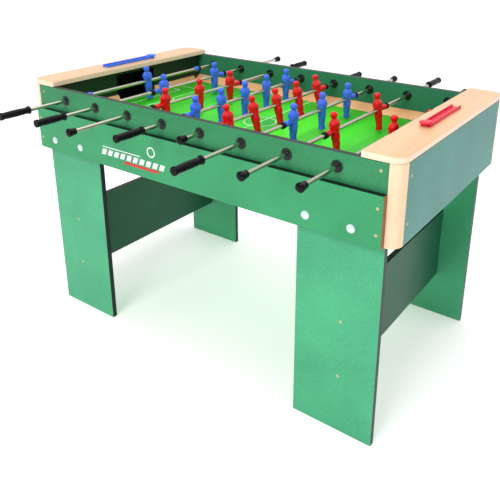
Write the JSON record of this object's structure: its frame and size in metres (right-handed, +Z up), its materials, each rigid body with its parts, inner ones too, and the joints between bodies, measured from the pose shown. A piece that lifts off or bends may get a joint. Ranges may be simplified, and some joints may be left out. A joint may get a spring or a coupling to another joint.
{
  "type": "foosball table",
  "caption": "Free-standing football table: green cabinet on board legs, sliding and spinning rods with moulded figures, goals, score counters.",
  "frame": {"origin": "on the floor, below the middle of the table", "axes": "+X from the blue goal to the red goal, +Y along the rods towards the back, +Z up"},
  "size_m": [1.3812, 1.323, 0.8775],
  "materials": {
    "green_laminate": "green melamine-faced chipboard, satin",
    "end_laminate": "grey-green melamine-faced chipboard, satin",
    "dark_laminate": "dark green melamine-faced chipboard, satin",
    "pitch_green": "printed hardboard, gloss, with line markings",
    "beech": "lacquered beech",
    "pale_beech": "lacquered beech, paler",
    "black_plastic": "black moulded plastic",
    "chrome_rod": "polished steel",
    "blue_plastic": "blue moulded plastic",
    "red_plastic": "red moulded plastic",
    "counter_blue": "blue moulded plastic",
    "counter_red": "red moulded plastic",
    "rubber_black": "black rubber",
    "screw_brass": "yellow passivated steel screws",
    "bolt_steel": "zinc plated",
    "white_plastic": "white plastic caps",
    "box_grey": "dark moulded plastic tray"
  },
  "bodies": {
    "table": {"pitch_board": "pitch_green", "ramps": "beech", "wall_front": "green_laminate", "wall_back": "green_laminate", "skirt_front": "green_laminate", "skirt_back": "green_laminate", "end_panel_left": "end_laminate", "end_panel_right": "end_laminate", "goal_wall_left": "dark_laminate", "goal_wall_right": "dark_laminate", "goal_boxes": "box_grey", "apron_left": "beech", "apron_right": "beech", "corner_posts": "pale_beech", "leg_front_left": "green_laminate", "leg_front_right": "green_laminate", "leg_back_left": "green_laminate", "leg_back_right": "green_laminate", "stretcher_left": "dark_laminate", "stretcher_right": "dark_laminate", "rod_bushings": "black_plastic", "panel_screws": "screw_brass", "leg_bolts": "bolt_steel", "bolt_caps": "white_plastic", "counter_left": "counter_blue", "counter_right": "counter_red"},
    "score_left": {"marker_left": "counter_blue"},
    "score_right": {"marker_right": "counter_red"},
    "carrier_1": {"bumpers_1": "rubber_black"},
    "spinner_1": {"rod_1": "chrome_rod", "players_1": "blue_plastic", "handle_1": "black_plastic"},
    "carrier_2": {"bumpers_2": "rubber_black"},
    "spinner_2": {"rod_2": "chrome_rod", "players_2": "blue_plastic", "handle_2": "black_plastic"},
    "carrier_3": {"bumpers_3": "rubber_black"},
    "spinner_3": {"rod_3": "chrome_rod", "players_3": "red_plastic", "handle_3": "black_plastic"},
    "carrier_4": {"bumpers_4": "rubber_black"},
    "spinner_4": {"rod_4": "chrome_rod", "players_4": "blue_plastic", "handle_4": "black_plastic"},
    "carrier_5": {"bumpers_5": "rubber_black"},
    "spinner_5": {"rod_5": "chrome_rod", "players_5": "red_plastic", "handle_5": "black_plastic"},
    "carrier_6": {"bumpers_6": "rubber_black"},
    "spinner_6": {"rod_6": "chrome_rod", "players_6": "blue_plastic", "handle_6": "black_plastic"},
    "carrier_7": {"bumpers_7": "rubber_black"},
    "spinner_7": {"rod_7": "chrome_rod", "players_7": "red_plastic", "handle_7": "black_plastic"},
    "carrier_8": {"bumpers_8": "rubber_black"},
    "spinner_8": {"rod_8": "chrome_rod", "players_8": "red_plastic", "handle_8": "black_plastic"}
  },
  "joints": [
    {"name": "rod_1_slide", "type": "slide", "parent": "table", "child": "carrier_1", "axis": [0, 1, 0], "range_m": [-0.0545, 0.0865]},
    {"name": "rod_1_spin", "type": "hinge", "parent": "carrier_1", "child": "spinner_1", "pos_m": [-0.518, 0, 0.808], "axis": [0, 1, 0], "continuous": true},
    {"name": "rod_2_slide", "type": "slide", "parent": "table", "child": "carrier_2", "axis": [0, 1, 0], "range_m": [-0.224, 0.102]},
    {"name": "rod_2_spin", "type": "hinge", "parent": "carrier_2", "child": "spinner_2", "pos_m": [-0.37, 0, 0.808], "axis": [0, 1, 0], "continuous": true},
    {"name": "rod_3_slide", "type": "slide", "parent": "table", "child": "carrier_3", "axis": [0, 1, 0], "range_m": [-0.0805, 0.1885]},
    {"name": "rod_3_spin", "type": "hinge", "parent": "carrier_3", "child": "spinner_3", "pos_m": [-0.222, 0, 0.808], "axis": [0, 1, 0], "continuous": true},
    {"name": "rod_4_slide", "type": "slide", "parent": "table", "child": "carrier_4", "axis": [0, 1, 0], "range_m": [-0.0615, 0.0355]},
    {"name": "rod_4_spin", "type": "hinge", "parent": "carrier_4", "child": "spinner_4", "pos_m": [-0.074, 0, 0.808], "axis": [0, 1, 0], "continuous": true},
    {"name": "rod_5_slide", "type": "slide", "parent": "table", "child": "carrier_5", "axis": [0, 1, 0], "range_m": [-0.0445, 0.0525]},
    {"name": "rod_5_spin", "type": "hinge", "parent": "carrier_5", "child": "spinner_5", "pos_m": [0.074, 0, 0.808], "axis": [0, 1, 0], "continuous": true},
    {"name": "rod_6_slide", "type": "slide", "parent": "table", "child": "carrier_6", "axis": [0, 1, 0], "range_m": [-0.1705, 0.0985]},
    {"name": "rod_6_spin", "type": "hinge", "parent": "carrier_6", "child": "spinner_6", "pos_m": [0.222, 0, 0.808], "axis": [0, 1, 0], "continuous": true},
    {"name": "rod_7_slide", "type": "slide", "parent": "table", "child": "carrier_7", "axis": [0, 1, 0], "range_m": [-0.163, 0.163]},
    {"name": "rod_7_spin", "type": "hinge", "parent": "carrier_7", "child": "spinner_7", "pos_m": [0.37, 0, 0.808], "axis": [0, 1, 0], "continuous": true},
    {"name": "rod_8_slide", "type": "slide", "parent": "table", "child": "carrier_8", "axis": [0, 1, 0], "range_m": [-0.0025, 0.1385]},
    {"name": "rod_8_spin", "type": "hinge", "parent": "carrier_8", "child": "spinner_8", "pos_m": [0.518, 0, 0.808], "axis": [0, 1, 0], "continuous": true},
    {"name": "score_left_slide", "type": "slide", "parent": "table", "child": "score_left", "axis": [0, -1, 0], "range_m": [0, 0.19]},
    {"name": "score_right_slide", "type": "slide", "parent": "table", "child": "score_right", "axis": [0, 1, 0], "range_m": [0, 0.19]}
  ]
}
